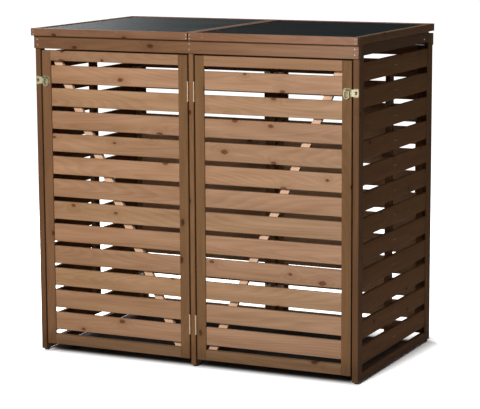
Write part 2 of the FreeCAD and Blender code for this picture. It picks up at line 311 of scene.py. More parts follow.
    # Resin round a knot takes more stain, some 30 mm along the grain
    resin = add(
        tree,
        "ShaderNodeMath",
        {"operation": "MULTIPLY"},
        {0: bent.outputs[0], 1: 0.5},
    )
    stained = add(
        tree,
        "ShaderNodeMix",
        {"data_type": "RGBA"},
        {0: resin.outputs[0], 6: stain.outputs[2], 7: linear(deep)},
    )
    knotted = add(
        tree,
        "ShaderNodeMix",
        {"data_type": "RGBA"},
        {0: in_ring.outputs[0], 6: stained.outputs[2], 7: linear(knot)},
    )
    chances = add(tree, "ShaderNodeSeparateColor", {}, {0: chance.outputs["Color"]})
    hue = add(
        tree,
        "ShaderNodeMapRange",
        {},
        {0: chances.outputs[0], "To Min": 0.496, "To Max": 0.503},
    )
    bright = add(
        tree,
        "ShaderNodeMapRange",
        {},
        {0: chances.outputs[1], "To Min": 0.93, "To Max": 1.06},
    )
    # Painted shade darkens the lowest 110 mm, where less light reaches near the ground
    apart = add(tree, "ShaderNodeSeparateXYZ", {}, {0: place})
    low_shade = add(
        tree,
        "ShaderNodeMapRange",
        {"interpolation_type": "SMOOTHSTEP"},
        {0: apart.outputs[2], "From Min": 0.04, "From Max": 0.11, "To Min": 0.72},
    )
    level = add(
        tree,
        "ShaderNodeMath",
        {"operation": "MULTIPLY"},
        {0: bright.outputs[0], 1: low_shade.outputs[0]},
    )
    toned = add(
        tree,
        "ShaderNodeHueSaturation",
        {},
        {"Hue": hue.outputs[0], "Value": level.outputs[0], "Color": knotted.outputs[2]},
    )
    # Painted light and shade: the colour grows paler or darker along one axis
    if painted_light:
        axis, start, end, brightness, saturation = painted_light
        span = {0: apart.outputs[axis], "From Min": start, "From Max": end, "To Min": 1.0}
        paler = [
            add(tree, "ShaderNodeMapRange", {}, {**span, "To Max": factor}).outputs[0]
            for factor in (brightness, saturation)
        ]
        toned = add(
            tree,
            "ShaderNodeHueSaturation",
            {},
            {"Value": paler[0], "Saturation": paler[1], "Color": toned.outputs[0]},
        )

    rough = add(
        tree,
        "ShaderNodeMapRange",
        {},
        {0: fibres.outputs[0], "To Min": 0.68, "To Max": 0.83},
    )
    relief = add(
        tree,
        "ShaderNodeMath",
        {"operation": "MULTIPLY_ADD"},
        {0: rings.outputs[0], 1: 0.5, 2: fibres.outputs[0]},
    )
    bump = add(
        tree,
        "ShaderNodeBump",
        {},
        {"Strength": 0.5, "Distance": 0.0002, "Height": relief.outputs[0]},
    )
    shader = add(
        tree,
        "ShaderNodeBsdfPrincipled",
        {},
        {
            "Base Color": toned.outputs[0],
            "Roughness": rough.outputs[0],
            "IOR": 1.5,
            "Specular IOR Level": 0.05,
            "Normal": bump.outputs[0],
        },
    )
    add(tree, "ShaderNodeOutputMaterial", {}, {0: shader.outputs[0]})
    return material


def finish_with(material, *nodes):
    """Gives CAD nodes a material in place of their plain colour."""
    for node in nodes:
        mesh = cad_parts[node].data
        mesh.materials.clear()
        mesh.materials.append(material)


# Planes that run between the upright boards
upright_borders = [("X", 0.0), ("Y", 0.0), ("X", -0.3), ("X", 0.3), ("X", -0.634), ("X", 0.634)]
post_timber = timber(
    "stained softwood, upright posts",
    "ZYX",
    ("#73543a", "#5e412a", "#402516"),
    upright_borders,
    seed=3,
    knots=0.3,
)
finish_with(
    post_timber, "left_front_post", "right_front_post", "left_rear_post", "right_rear_post"
)

# Side rails: the same board on its side, let into the posts with a tongue at
# each end. The top one carries the lid. Both are painted darker toward the top,
# as painted shade under the lid's overhang. The bottom one stays off the ground.
side_timber = timber(
    "stained softwood, side rails",
    "YZX",
    ("#735237", "#5c3f28", "#402516"),
    [("X", 0.0), ("Z", 0.6)],
    seed=5,
    painted_light=("Z", 0.06, 1.18, 0.5, 1.0),
)
finish_with(
    side_timber,
    *[f"{side}_side_{rail}_rail" for side in ("left", "right") for rail in ("top", "bottom")],
)


# Side slats: twelve boards a side, 68 by 16 mm, with rounded arrises from the
# planing machine, seated in the rebates of the posts with a gap between them.
def socket(tree, name, kind, value=None, way="INPUT"):
    """A named input or output of a Geometry Nodes tree."""
    made = tree.interface.new_socket(name, in_out=way, socket_type=kind)
    if value is not None:
        made.default_value = value


def grow(tree, name, points, inputs, body, facings=None):
    """Runs a Geometry Nodes tree on points and keeps the result as a mesh."""
    mesh = bpy.data.meshes.new(name)
    mesh.from_pydata([tuple(point) for point in points], [], [])
    if facings:
        attribute = mesh.attributes.new("facing", "FLOAT_VECTOR", "POINT")
        for item, facing in zip(attribute.data, facings):
            item.vector = facing
    piece = bpy.data.objects.new(name, mesh)
    bpy.context.scene.collection.objects.link(piece)
    modifier = piece.modifiers.new("grow", "NODES")
    modifier.node_group = tree
    identifiers = {
        item.name: item.identifier for item in tree.interface.items_tree if item.in_out == "INPUT"
    }
    for key, value in inputs.items():
        modifier[identifiers[key]] = value
    bpy.context.view_layer.update()
    evaluated = piece.evaluated_get(bpy.context.evaluated_depsgraph_get())
    made = bpy.data.meshes.new_from_object(evaluated)
    piece.modifiers.clear()
    piece.data = made
    made.name = name
    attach(piece, body)
    return piece


slat_count, slat_width = 12, 0.068
slat_tree = bpy.data.node_groups.new("slat ladder", "GeometryNodeTree")
socket(slat_tree, "Places", "NodeSocketGeometry")
socket(slat_tree, "Length", "NodeSocketFloat", 0.5)
socket(slat_tree, "Width", "NodeSocketFloat", slat_width)
socket(slat_tree, "Thickness", "NodeSocketFloat", 0.016)
socket(slat_tree, "Arris", "NodeSocketFloat", 0.003)
socket(slat_tree, "Turn", "NodeSocketFloat", 0.0)
socket(slat_tree, "Timber", "NodeSocketMaterial")
socket(slat_tree, "Slats", "NodeSocketGeometry", way="OUTPUT")
given = add(slat_tree, "NodeGroupInput")
ends = []
for share in (-0.5, 0.5):
    reach = add(
        slat_tree,
        "ShaderNodeMath",
        {"operation": "MULTIPLY"},
        {0: given.outputs["Length"], 1: share},
    )
    ends.append(add(slat_tree, "ShaderNodeCombineXYZ", {}, {0: reach.outputs[0]}).outputs[0])
path = add(slat_tree, "GeometryNodeCurvePrimitiveLine", {}, {0: ends[0], 1: ends[1]})
section = add(
    slat_tree,
    "GeometryNodeCurvePrimitiveQuadrilateral",
    {},
    {0: given.outputs["Thickness"], 1: given.outputs["Width"]},
)
eased = add(
    slat_tree,
    "GeometryNodeFilletCurve",
    {"mode": "POLY"},
    {0: section.outputs[0], "Count": 4, "Radius": given.outputs["Arris"]},
)
bar = add(
    slat_tree,
    "GeometryNodeCurveToMesh",
    {},
    {0: path.outputs[0], 1: eased.outputs[0], "Fill Caps": True},
)
turn = add(slat_tree, "ShaderNodeCombineXYZ", {}, {2: given.outputs["Turn"]})
ladder = add(
    slat_tree,
    "GeometryNodeInstanceOnPoints",
    {},
    {0: given.outputs["Places"], "Instance": bar.outputs[0], "Rotation": turn.outputs[0]},
)
index = add(slat_tree, "GeometryNodeInputIndex")
counted = add(
    slat_tree,
    "GeometryNodeStoreNamedAttribute",
    {"data_type": "FLOAT", "domain": "INSTANCE"},
    {0: ladder.outputs[0], "Name": "board", "Value": index.outputs[0]},
)
real = add(slat_tree, "GeometryNodeRealizeInstances", {}, {0: counted.outputs[0]})
coloured = add(
    slat_tree,
    "GeometryNodeSetMaterial",
    {},
    {0: real.outputs[0], "Material": given.outputs["Timber"]},
)
add(slat_tree, "NodeGroupOutput", {}, {0: coloured.outputs[0]})


def slat_heights(low, high):
    """The middles of the slats that stand between two heights."""
    pitch = (high - low - slat_width) / (slat_count - 1)
    return [low + slat_width / 2 + step * pitch for step in range(slat_count)]


def slats(name, boxes, turn, material, body, node):
    """Replaces a node's slats, one ladder of them in each box."""
    places = []
    for low, high in boxes:
        middle = (low + high) / 2
        places += [(middle.x, middle.y, height) for height in slat_heights(low.z, high.z)]
    low, high = boxes[0]
    long = max(high.x - low.x, high.y - low.y)
    thick = min(high.x - low.x, high.y - low.y)
    sizes = {"Length": long, "Thickness": thick, "Turn": turn, "Timber": material}
    piece = grow(slat_tree, name, places, sizes, body)
    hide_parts(node)


side_slat_timber = timber(
    "stained softwood, side slats",
    "YZX",
    ("#86603d", "#6b492d", "#442818"),
    seed=20,
    knots=0.35,
    board="board",
)
for side in ("left", "right"):
    node = f"{side}_side_slats"
    slats(f"{side}_side_boards", [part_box(node)], math.pi / 2, side_slat_timber, "frame", node)

# Side battens: an upright board behind the side slats, at mid-depth, that keeps
# them straight. Two nails go through each slat into it, and small ones hold each
# slat's ends in the rebates of the posts, from outside and from inside.
finish_with(post_timber, "left_side_batten", "right_side_batten")


def driven(name, cross):
    """A tree that sets a nail's or a screw's head at each point, along its facing."""
    tree = bpy.data.node_groups.new(name, "GeometryNodeTree")
    socket(tree, "Places", "NodeSocketGeometry")
    socket(tree, "Radius", "NodeSocketFloat", 0.003)
    socket(tree, "Height", "NodeSocketFloat", 0.0008)
    socket(tree, "Metal", "NodeSocketMaterial")
    socket(tree, "Heads", "NodeSocketGeometry", way="OUTPUT")
    given = add(tree, "NodeGroupInput")
    # A head is a low cone, cut off at 0.72 of its radius
    crown = add(
        tree, "ShaderNodeMath", {"operation": "MULTIPLY"}, {0: given.outputs["Radius"], 1: 0.72}
    )
    head = add(
        tree,
        "GeometryNodeMeshCone",
        {"fill_type": "NGON"},
        {
            "Vertices": 14,
            "Radius Top": crown.outputs[0],
            "Radius Bottom": given.outputs["Radius"],
            "Depth": given.outputs["Height"],
        },
    )
    shape = head.outputs["Mesh"]
    if cross:
        # The recess for a cross-head driver
        long, wide = (
            add(
                tree,
                "ShaderNodeMath",
                {"operation": "MULTIPLY"},
                {0: given.outputs["Radius"], 1: share},
            ).outputs[0]
            for share in (1.1, 0.3)
        )
        deep = given.outputs["Height"]
        for sides in ((long, wide), (wide, long)):
            size = add(tree, "ShaderNodeCombineXYZ", {}, {0: sides[0], 1: sides[1], 2: deep})
            bar = add(tree, "GeometryNodeMeshCube", {}, {"Size": size.outputs[0]})
            raised = add(tree, "ShaderNodeCombineXYZ", {}, {2: deep})
            bar = add(
                tree,
                "GeometryNodeTransform",
                {},
                {0: bar.outputs[0], "Translation": raised.outputs[0]},
            )
            cut = add(
                tree,
                "GeometryNodeMeshBoolean",
                {"operation": "DIFFERENCE"},
                {"Mesh 1": shape, "Mesh 2": bar.outputs[0]},
            )
            shape = cut.outputs["Mesh"]
    facing = add(
        tree, "GeometryNodeInputNamedAttribute", {"data_type": "FLOAT_VECTOR"}, {"Name": "facing"}
    )
    aimed = add(
        tree,
        "FunctionNodeAlignRotationToVector",
        {"axis": "Z"},
        {"Vector": facing.outputs["Attribute"]},
    )
    spin = add(
        tree, "FunctionNodeRandomValue", {"data_type": "FLOAT"}, {"Min": 0.0, "Max": 1.6, "Seed": 4}
    )
    spun = add(tree, "ShaderNodeCombineXYZ", {}, {2: [o for o in spin.outputs if o.enabled][0]})
    turned = add(
        tree,
        "FunctionNodeRotateRotation",
        {"rotation_space": "LOCAL"},
        {"Rotation": aimed.outputs[0], "Rotate By": spun.outputs[0]},
    )
    placed = add(
        tree,
        "GeometryNodeInstanceOnPoints",
        {},
        {0: given.outputs["Places"], "Instance": shape, "Rotation": turned.outputs[0]},
    )
    real = add(tree, "GeometryNodeRealizeInstances", {}, {0: placed.outputs[0]})
    finished = add(
        tree,
        "GeometryNodeSetMaterial",
        {},
        {0: real.outputs[0], "Material": given.outputs["Metal"]},
    )
    add(tree, "NodeGroupOutput", {}, {0: finished.outputs[0]})
    return tree


nail_tree = driven("nail heads", False)
nail_steel, tree = blank("bare steel nails, dulled")
# Bare steel goes grey-brown outdoors, patchily at the scale of its head
dull = add(
    tree,
    "ShaderNodeTexNoise",
    {},
    {"Vector": add(tree, "ShaderNodeTexCoord").outputs["Object"], "Scale": 700.0, "Detail": 2.0},
)
steel = add(
    tree,
    "ShaderNodeMix",
    {"data_type": "RGBA"},
    {0: dull.outputs[0], 6: linear("#4d4640"), 7: linear("#6f655b")},
)
shader = add(
    tree,
    "ShaderNodeBsdfPrincipled",
    {},
    {"Base Color": steel.outputs[2], "Metallic": 1.0, "Roughness": 0.55},
)
add(tree, "ShaderNodeOutputMaterial", {}, {0: shader.outputs[0]})


def drive(name, tree, heads, radius, metal, body, stand=0.3):
    """Sets heads, given as (place, facing) pairs, on one body.

    stand is how far they stand out, as a share of their radius.
    """
    places, facings = zip(*heads)
    sizes = {"Radius": radius, "Height": radius * stand, "Metal": metal}
    piece = grow(tree, name, places, sizes, body, facings)


nail_radius = 0.0022
# Insets are from a slat's ends, and spreads from its middle
batten_spread = 0.009
outer_inset, outer_spread = 0.018, 0.012
seat_inset, seat_spread = 0.006, 0.020
nails = []
for side, way in (("left", -1), ("right", 1)):
    low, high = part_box(f"{side}_side_slats")
    middle = (low.y + high.y) / 2
    outer, inner = (low.x, high.x) if way < 0 else (high.x, low.x)
    for height in slat_heights(low.z, high.z):
        for across in (middle - batten_spread, middle + batten_spread):
            nails.append(((outer, across, height), (way, 0, 0)))
        for across in (low.y + outer_inset, high.y - outer_inset):
            for rise in (-outer_spread, outer_spread):
                nails.append(((outer, across, height + rise), (way, 0, 0)))
        for across in (low.y + seat_inset, high.y - seat_inset):
            for rise in (-seat_spread, seat_spread):
                nails.append(((inner, across, height + rise), (-way, 0, 0)))
drive("side_nails", nail_tree, nails, nail_radius, nail_steel, "frame")

# Headers: a level board across the front and one across the back, screwed into
# the notches of the posts. The lids come down on the front one.
# Painted light makes both headers paler and greyer toward their right ends
header_timber = timber(
    "stained softwood, headers",
    "XZY",
    ("#7c5a40", "#63452f", "#472a1a"),
    [("Y", 0.0)],
    seed=7,
    painted_light=("X", -0.15, 0.66, 1.62, 0.86),
)
finish_with(header_timber, "front_header", "rear_header")


def zinc(name, colour, deep, rough):
    """Zinc plated steel: a metal mirror blurred by its fine crystals."""
    material, tree = blank(name)
    place = add(tree, "ShaderNodeTexCoord").outputs["Object"]
    cloud = add(
        tree,
        "ShaderNodeTexNoise",
        {},
        {"Vector": place, "Scale": 160.0, "Detail": 3.0, "Roughness": 0.6},
    )
    coat = add(
        tree,
        "ShaderNodeMix",
        {"data_type": "RGBA"},
        {0: cloud.outputs[0], 6: linear(colour), 7: linear(deep)},
    )
    # Painted shade darkens the colour toward #2a2116 in the recesses, within 7 mm of another
    # surface
    recess_shade = add(tree, "ShaderNodeAmbientOcclusion", {"samples": 8}, {"Distance": 0.007})
    recess_shade = add(
        tree,
        "ShaderNodeMapRange",
        {"interpolation_type": "SMOOTHSTEP"},
        {0: recess_shade.outputs["AO"], "From Min": 0.3, "From Max": 0.95},
    )
    coat = add(
        tree,
        "ShaderNodeMix",
        {"data_type": "RGBA"},
        {0: recess_shade.outputs[0], 6: linear("#2a2116"), 7: coat.outputs[2]},
    )
    speck = add(tree, "ShaderNodeTexNoise", {}, {"Vector": place, "Scale": 1500.0, "Detail": 2.0})
    roughness = add(
        tree,
        "ShaderNodeMapRange",
        {},
        {0: speck.outputs[0], "To Min": rough, "To Max": rough + 0.15},
    )
    bump = add(
        tree,
        "ShaderNodeBump",
        {},
        {"Strength": 0.2, "Distance": 0.0001, "Height": speck.outputs[0]},
    )
    shader = add(
        tree,
        "ShaderNodeBsdfPrincipled",
        {},
        {
            "Base Color": coat.outputs[2],
            "Metallic": 1.0,
            "Roughness": roughness.outputs[0],
            "Normal": bump.outputs[0],
        },
    )
    add(tree, "ShaderNodeOutputMaterial", {}, {0: shader.outputs[0]})
    return material


bright_zinc = zinc("bright zinc plated steel", "#b5a79b", "#8f8277", 0.40)
screw_tree = driven("screw heads", True)
screw_radius = 0.0030
post_middles = (-0.6445, -0.002, 0.6445)
screws = []
for node, way, heights in (
    ("front_header", -1, (1.1875, 1.2080)),
    ("rear_header", 1, (1.1800, 1.2000)),
):
    low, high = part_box(node)
    for across in post_middles:
        for height in heights:
            screws.append(((across, low.y if way < 0 else high.y, height), (0, way, 0)))

# One screw more shows in each side's top rail, in front of the rear post
rail_face, rail_screw_y, rail_screw_z = 0.659, 0.292, 1.195
for way in (-1, 1):
    screws.append(((way * rail_face, rail_screw_y, rail_screw_z), (way, 0, 0)))
drive("header_screws", screw_tree, screws, screw_radius, bright_zinc, "frame")

# Centre posts, front and back, which carry the doors' hinges, and the tie that
# joins their heads and catches the lids' inner edges.
centre_timber = timber(
    "stained softwood, centre posts",
    "ZXY",
    ("#896745", "#6f4e34", "#46291a"),
    [("Y", 0.0)],
    seed=11,
)
finish_with(centre_timber, "front_centre_post", "rear_centre_post")
finish_with(side_timber, "centre_tie")

# Feet: six round pads of black plastic under the posts, which keep the timber off
# the ground. The mould leaves them matt and slightly grained.
foot_plastic, tree = blank("black moulded plastic")
grains = add(
    tree,
    "ShaderNodeTexNoise",
    {},
    {"Vector": add(tree, "ShaderNodeTexCoord").outputs["Object"], "Scale": 900.0, "Detail": 2.0},
)
bump = add(
    tree,
    "ShaderNodeBump",
    {},
    {"Strength": 0.3, "Distance": 0.0003, "Height": grains.outputs[0]},
)
shader = add(
    tree,
    "ShaderNodeBsdfPrincipled",
    {},
    {"Base Color": linear("#1b1b1b"), "Roughness": 0.6, "IOR": 1.5, "Normal": bump.outputs[0]},
)
add(tree, "ShaderNodeOutputMaterial", {}, {0: shader.outputs[0]})
finish_with(foot_plastic, "feet")

# Back panels: two fixed panels, made like the doors but without a brace. Each has
# two upright stiles, two rails with tongues and twelve slats, nailed at their ends
# from inside the store.
stile_timber = timber(
    "stained softwood, door stiles",
    "ZXY",
    ("#836143", "#6a4b31", "#462a18"),
    upright_borders,
    seed=40,
    knots=0.3,
)
# Painted light makes the rails paler toward the top
rail_timber = timber(
    "stained softwood, door rails",
    "XZY",
    ("#997558", "#79583c", "#53301d"),
    [("Y", 0.0), ("Z", 0.6)],
    seed=43,
    painted_light=("Z", 0.07, 1.12, 1.25, 0.97),
)
finish_with(stile_timber, "back_outer_stiles", "back_inner_stiles")
finish_with(rail_timber, "back_rails")
# Painted light makes the slats slightly paler and greyer toward the right
slat_timber = timber(
    "stained softwood, slats",
    "XZY",
    ("#b68e6c", "#906a49", "#6a4028"),
    seed=60,
    knots=0.38,
    board="board",
    painted_light=("X", -0.6, 0.6, 1.02, 0.92),
)
low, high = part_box("back_slats")
start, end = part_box("right_door_slats")
wide = end.x - start.x
halves = [
    (low, Vector((low.x + wide, high.y, high.z))),
    (Vector((high.x - wide, low.y, low.z)), high),
]
slats("back_boards", halves, 0.0, slat_timber, "frame", "back_slats")


def seat_nails(boxes, face, way):
    """Two nails in each end of every slat in some boxes, on one face."""
    low, high = boxes[0]
    return [
        ((across, face, height + rise), (0, way, 0))
        for height in slat_heights(low.z, high.z)
        for start, end in boxes
        for across in (start.x + seat_inset, end.x - seat_inset)
        for rise in (-seat_spread, seat_spread)
    ]


nails = seat_nails(halves, low.y, -1)
drive("back_nails", nail_tree, nails, nail_radius, nail_steel, "frame")

# Brackets of the back panels: angles bent from strip 2 mm thick, with a bright
# zinc coat and a screw in each leg. They hold the panels to the posts.
finish_with(bright_zinc, "back_brackets")
low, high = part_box("back_brackets")
strip, centre_post_face = 0.002, 0.0095
bracket_half, leg_inset, leg_reach = 0.010, 0.008, 0.019
screws = []
for height in (low.z + bracket_half, high.z - bracket_half):
    for side in (-1, 1):
        for wall, way in ((high.x - strip, -1), (centre_post_face + strip, 1)):
            screws.append(((side * wall, low.y + leg_inset, height), (side * way, 0, 0)))
            across = side * (wall + way * leg_reach)
            screws.append(((across, high.y - strip, height), (0, -1, 0)))
drive("bracket_screws", screw_tree, screws, screw_radius, bright_zinc, "frame")

# Doors: each has two stiles with a rebate, two rails with tongues, and twelve
# slats in the rebates. Nails hold the slats' ends from behind. In front, two go
# through each corner joint, and two show beside each hinge.
door_nail_radius = 0.0020
corner_inset, corner_near, corner_far = 0.001, 0.012, 0.026
hinge_nail_shift, hinge_nail_heights = 0.006, (0.192, 0.132, 1.001, 1.060)
for side, way in (("left", 1), ("right", -1)):
    finish_with(stile_timber, f"{side}_door_hinge_stile", f"{side}_door_latch_stile")
    finish_with(rail_timber, f"{side}_door_rails")
    node, body = f"{side}_door_slats", f"{side}_door"
    slats(f"{side}_door_boards", [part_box(node)], 0.0, slat_timber, body, node)
    nails = seat_nails([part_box(node)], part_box(node)[1].y, 1)
    low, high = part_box(f"{side}_door_rails")
    lower = [low.z + corner_near, low.z + corner_far]
    upper = [high.z - corner_far, high.z - corner_near]
    for across in (low.x + corner_inset, high.x - corner_inset):
        nails += [((across, low.y, height), (0, -1, 0)) for height in lower + upper]
    start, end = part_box(f"{side}_door_hinge_stile")
    across = (start.x + end.x) / 2 + way * hinge_nail_shift
    nails += [((across, low.y, height), (0, -1, 0)) for height in hinge_nail_heights]
    drive(
        f"{side}_door_nails", nail_tree, nails, door_nail_radius, nail_steel, body
    )

# Braces: a paler, unstained board behind each door's slats, corner to corner, that
# keeps the door from sagging. Two nails go through it into each slat and rail.
level_width = 0.034
brace_nail_spread = 0.007
bottom_rail, top_rail = 0.052, 1.145
for side, way in (("left", 1), ("right", -1)):
    low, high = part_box(f"{side}_door_brace")
    lean = math.atan2(high.z - low.z, (high.x - low.x) * way * -1)
    brace_timber = timber(
        f"planed softwood, {side} brace",
        "XZY",
        ("#e3c4a8", "#c9a283", "#8a5a3c"),
        seed=80 + way,
        turn=lean,
    )
    finish_with(brace_timber, f"{side}_door_brace")
    nails = []
    start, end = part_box(f"{side}_door_slats")
    for height in (bottom_rail, *slat_heights(start.z, end.z), top_rail):
        share = (height - low.z) / (high.z - low.z)
        if way > 0:
            share = 1 - share
        across = low.x + level_width / 2 + share * (high.x - low.x - level_width)
        for step in (-brace_nail_spread, brace_nail_spread):
            nails.append(((across + step * way, high.y, height + step), (0, 1, 0)))
    drive(
        f"{side}_brace_nails",
        nail_tree,
        nails,
        nail_radius,
        nail_steel,
        f"{side}_door",
    )

# Door hinges: steel butt hinges with a yellow passivated zinc coat, one leaf on
# the post and one on the door's edge.
hinge_metal = zinc("yellow zinc plated steel", "#a18b73", "#7c6a55", 0.44)
finish_with(hinge_metal, "centre_post_hinge_leaves")
finish_with(hinge_metal, "left_door_hinge_leaves", "right_door_hinge_leaves")

# Hasps, drop rings and staples: pressed from the same plated steel. The plates
# behind the leaves and rings get a darker copy of the metal, as painted shade.
latch_metal = zinc("yellow zinc plated steel, latches", "#a9a286", "#7d765d", 0.38)
shaded_plate_metal = zinc("yellow zinc plated steel, painted shade", "#857e64", "#5c563f", 0.46)
finish_with(latch_metal, "staples")
small_radius, pressed_sheet = 0.0024, 0.0015
# Across from the plate's free edge, and up from its middle
plate_holes = ((0.0045, 0.0085), (0.0045, -0.0085), (0.016, -0.0065))
for side in ("left", "right"):
    finish_with(latch_metal, f"{side}_hasp_leaf", f"{side}_drop_ring")
    finish_with(shaded_plate_metal, f"{side}_hasp_plate")
    low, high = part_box(f"{side}_hasp_plate")
    edge, inward = (high.x, -1) if side == "left" else (low.x, 1)
    face, middle = high.y - pressed_sheet, (low.z + high.z) / 2
    screws = [
        ((edge + across * inward, face, middle + rise), (0, -1, 0)) for across, rise in plate_holes
    ]
    body = f"{side}_door"
    drive(
        f"{side}_hasp_screws", screw_tree, screws, small_radius, latch_metal, body
    )

# Two sunk screws hold each staple's plate, above and below its loop
sunk_radius, sunk_stand = 0.0022, 0.08
staple_x, staple_spread = 0.648, 0.0105
front_plate, rear_plate = -0.3785, 0.3895
low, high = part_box("staples")
screws = []
for across in (-staple_x, staple_x):
    for rise in (-staple_spread, staple_spread):
        height = (low.z + high.z) / 2 + rise
        for face, way in ((front_plate, -1), (rear_plate, 1)):
            screws.append(((across, face, height), (0, way, 0)))
drive(
    "staple_screws",
    screw_tree,
    screws,
    sunk_radius,
    latch_metal,
    "frame",
    sunk_stand,
)

# Lids: a rim of four softwood boards on edge round a sheet of board, with three
# battens below. Screws hold the rim's corners, and others go up through the
# battens into the board.
# Painted light makes the lid fronts paler and greyer toward the right lid's outer end
rim_timber = timber(
    "stained softwood, lid fronts",
    "XZY",
    ("#8e684e", "#704e37", "#4c2d1c"),
    [("X", 0.0), ("Y", 0.0)],
    seed=90,
    painted_light=("X", 0.1, 0.66, 1.35, 0.88),
)
rim_side_timber = timber(
    "stained softwood, lid sides",
    "YZX",
    ("#8f6c50", "#715037", "#4a2d1c"),
    [("X", -0.3), ("X", 0.0), ("X", 0.3)],
    seed=93,
)
deck_timber = timber(
    "board under the felt", "YXZ", ("#b08d68", "#8f6c4a", "#5f4029"), seed=97, knots=0.2
)
rim_inner_inset, rim_outer_inset = 0.0045, 0.009
rim_heights = (1.2290, 1.2420)
extra_x, extra_z = 0.058, 1.2345
batten_inset, batten_end, batten_screws = 0.020, 0.05, 5
for side, way in (("left", -1), ("right", 1)):
    finish_with(rim_timber, f"{side}_lid_long_rims")
    finish_with(rim_side_timber, f"{side}_lid_side_rims")
    finish_with(deck_timber, f"{side}_lid_deck", f"{side}_lid_battens")
    body = f"{side}_lid"
    low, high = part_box(f"{side}_lid_long_rims")
    inner, outer = (high.x, low.x) if side == "left" else (low.x, high.x)
    screws = [
        ((across, face, height), (0, aim, 0))
        for face, aim in ((low.y, -1), (high.y, 1))
        for across in (inner + way * rim_inner_inset, outer - way * rim_outer_inset)
        for height in rim_heights
    ]
    if side == "right":
        # One more shows near the left end of its front board
        screws.append(((extra_x, low.y, extra_z), (0, -1, 0)))
    drive(
        f"{side}_rim_screws", screw_tree, screws, small_radius, bright_zinc, body
    )
    low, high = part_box(f"{side}_lid_battens")
    pitch = (high.y - low.y - 2 * batten_end) / (batten_screws - 1)
    screws = [
        ((across, low.y + batten_end + step * pitch, low.z), (0, 0, -1))
        for across in (low.x + batten_inset, (low.x + high.x) / 2, high.x - batten_inset)
        for step in range(batten_screws)
    ]
    drive(
        f"{side}_batten_screws",
        screw_tree,
        screws,
        screw_radius,
        bright_zinc,
        body,
    )

# Lid hinges: two butt hinges a lid, of the doors' plated steel, with one leaf on
# the back of the rim and one on the back of the rear header, two screws in each.
leaf_radius, leaf_half, leaf_spread, leaf_sheet = 0.0026, 0.030, 0.020, 0.0015
rim_screw_z, header_screw_z = 1.2335, 1.2020
inner_hinge = 0.1225
for side in ("left", "right"):
    finish_with(hinge_metal, f"{side}_lid_hinge_leaves")
    low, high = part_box(f"{side}_lid_hinge_leaves")
    screws = [
        ((middle + spread, low.y + leaf_sheet, rim_screw_z), (0, 1, 0))
        for middle in (low.x + leaf_half, high.x - leaf_half)
        for spread in (-leaf_spread, leaf_spread)
    ]
    drive(
        f"{side}_lid_hinge_screws",
        screw_tree,
        screws,
        leaf_radius,
        hinge_metal,
        f"{side}_lid",
    )
finish_with(hinge_metal, "header_hinge_leaves")
low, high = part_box("header_hinge_leaves")
screws = [
    ((way * (middle + spread), low.y + leaf_sheet, header_screw_z), (0, 1, 0))
    for way in (-1, 1)
    for middle in (inner_hinge, high.x - leaf_half)
    for spread in (-leaf_spread, leaf_spread)
]
drive("header_hinge_screws", screw_tree, screws, leaf_radius, hinge_metal, "frame")

# Felt: bitumen sheet rolled in crushed slate, let in between the rims and held
# by clout nails. The grit is 1 mm and drawn 2.5 mm wide, so that the render
# shows it; it scatters light like fine gravel, in cool and greenish patches.
def slate_felt(name, pale, gloss):
    """Bitumen felt. pale is the colour of its palest slate, gloss its shine."""
    material, tree = blank(name)
    place = add(tree, "ShaderNodeTexCoord").outputs["Object"]
    grit = add(tree, "ShaderNodeTexVoronoi", {"feature": "F1"}, {"Vector": place, "Scale": 400.0})
    tint = add(tree, "ShaderNodeSeparateColor", {}, {0: grit.outputs["Color"]})
    # Paler and darker bands across the lid: patches in its slate, and painted shade of the slight
    # waves it comes off the roll in
    waves = add(
        tree, "ShaderNodeVectorMath", {"operation": "MULTIPLY"}, {0: place, 1: (1.6, 11.0, 1.0)}
    )
    patch = add(
        tree,
        "ShaderNodeTexNoise",
        {},
        {"Vector": waves.outputs[0], "Scale": 1.0, "Detail": 5.0, "Roughness": 0.6},
    )
    mixed = add(
        tree,
        "ShaderNodeMath",
        {"operation": "MULTIPLY_ADD"},
        {0: patch.outputs[0], 1: 2.4, 2: tint.outputs[0]},
    )
    level = add(
        tree, "ShaderNodeMapRange", {}, {0: mixed.outputs[0], "From Min": 0.7, "From Max": 2.5}
    )
    colour = add(
        tree,
        "ShaderNodeMix",
        {"data_type": "RGBA"},
        {0: level.outputs[0], 6: linear("#0c1012"), 7: linear(pale)},
    )
    cast = add(tree, "ShaderNodeTexNoise", {}, {"Vector": place, "Scale": 3.0, "Detail": 2.0})
    toned = add(
        tree,
        "ShaderNodeMix",
        {"data_type": "RGBA", "blend_type": "MULTIPLY"},
        {0: cast.outputs[0], 6: colour.outputs[2], 7: linear("#e6fff4")},
    )
    bump = add(
        tree,
        "ShaderNodeBump",
        {},
        {"Strength": 0.7, "Distance": 0.0008, "Height": tint.outputs[0]},
    )
    shader = add(
        tree,
        "ShaderNodeBsdfPrincipled",
        {},
        {
            "Base Color": toned.outputs[2],
            "Roughness": 0.65,
            "IOR": 1.5,
            "Specular IOR Level": gloss,
            "Normal": bump.outputs[0],
        },
    )
    add(tree, "ShaderNodeOutputMaterial", {}, {0: shader.outputs[0]})
    return material


